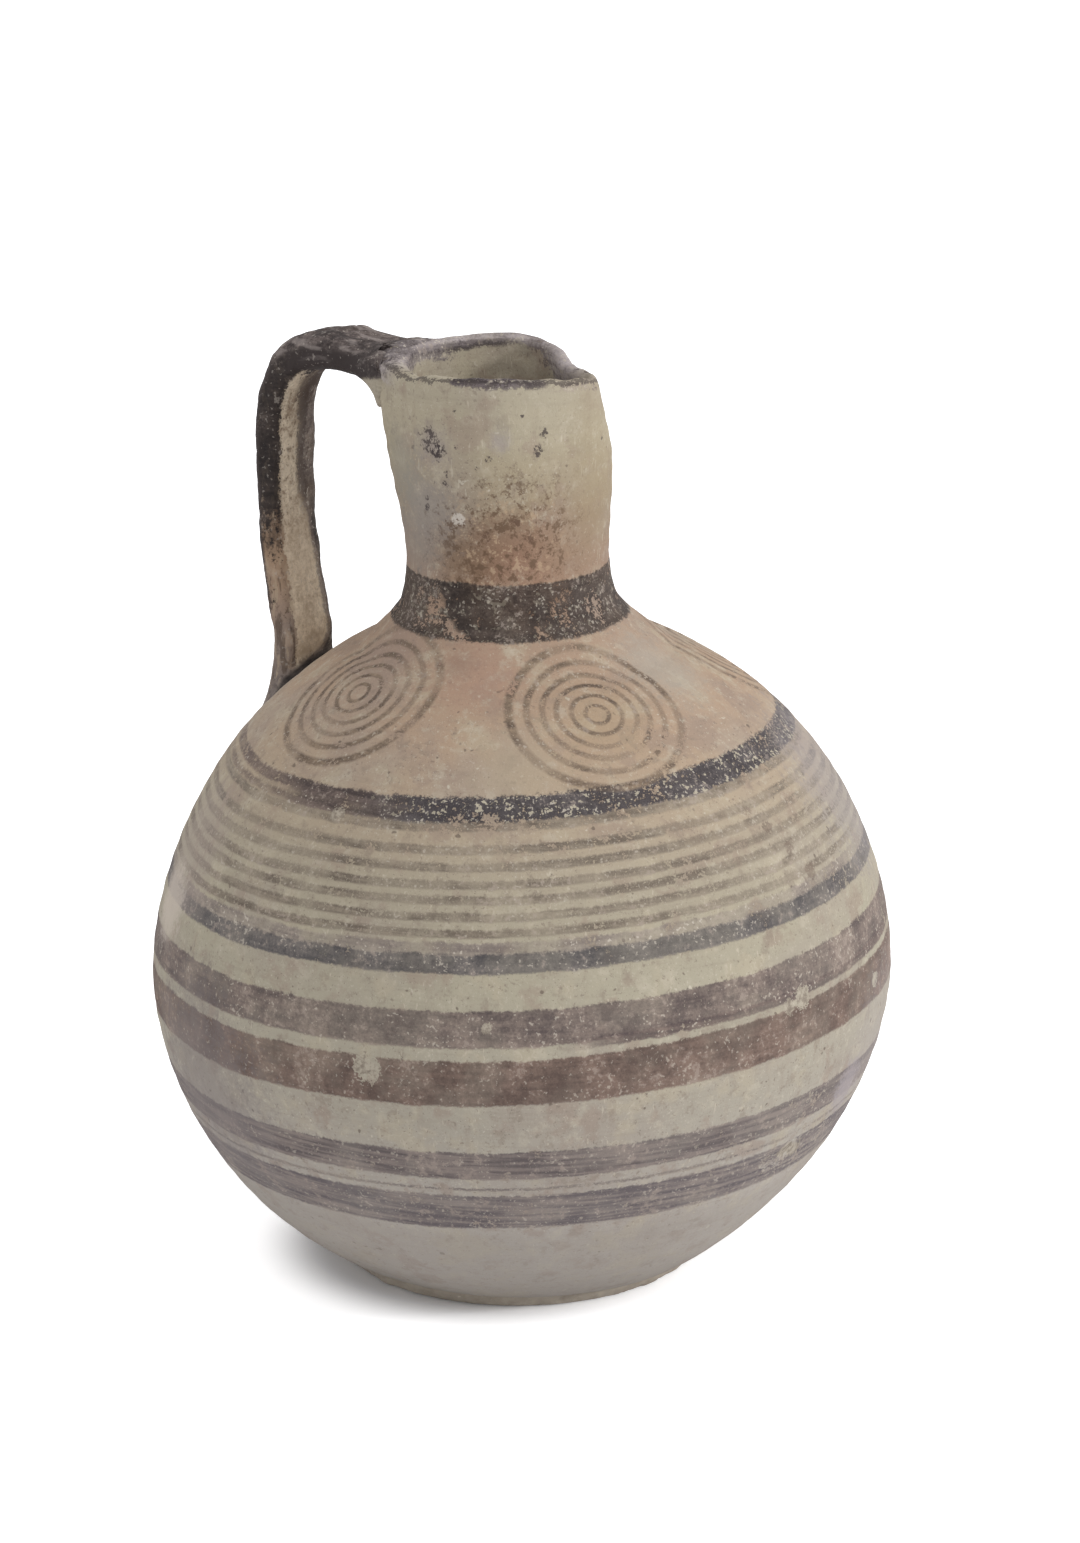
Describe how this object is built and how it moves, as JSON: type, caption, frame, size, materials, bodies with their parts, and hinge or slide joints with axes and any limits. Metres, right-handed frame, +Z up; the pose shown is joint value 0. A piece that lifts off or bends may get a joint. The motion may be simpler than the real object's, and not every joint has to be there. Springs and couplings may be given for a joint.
{
  "type": "pitcher",
  "caption": "Round-bellied clay jug on a low base disc, with a short leaning neck, a pinched pouring mouth and a strap handle from rim to shoulder.",
  "frame": {"origin": "centre of the belly's axis on the surface that the jug stands on", "axes": "+Z up; the handle is on the -X side and the spout points to +X"},
  "size_m": [0.172, 0.172, 0.2143],
  "materials": {
    "base": "matt buff clay slip, worn at the edge",
    "body": "matt buff slip with painted brown and blue-black bands",
    "dark_band": "matt black paint, worn and speckled",
    "neck": "matt buff slip with an ochre flush",
    "handle": "matt buff clay with dark painted edges, worn"
  },
  "bodies": {
    "root": {"base_disc": "base", "lower_body": "body", "upper_body": "body", "neck_collar": "dark_band", "neck_and_mouth": "neck", "handle_strap": "handle", "handle_rim_pad": "handle", "handle_root_pad": "handle"}
  },
  "joints": []
}
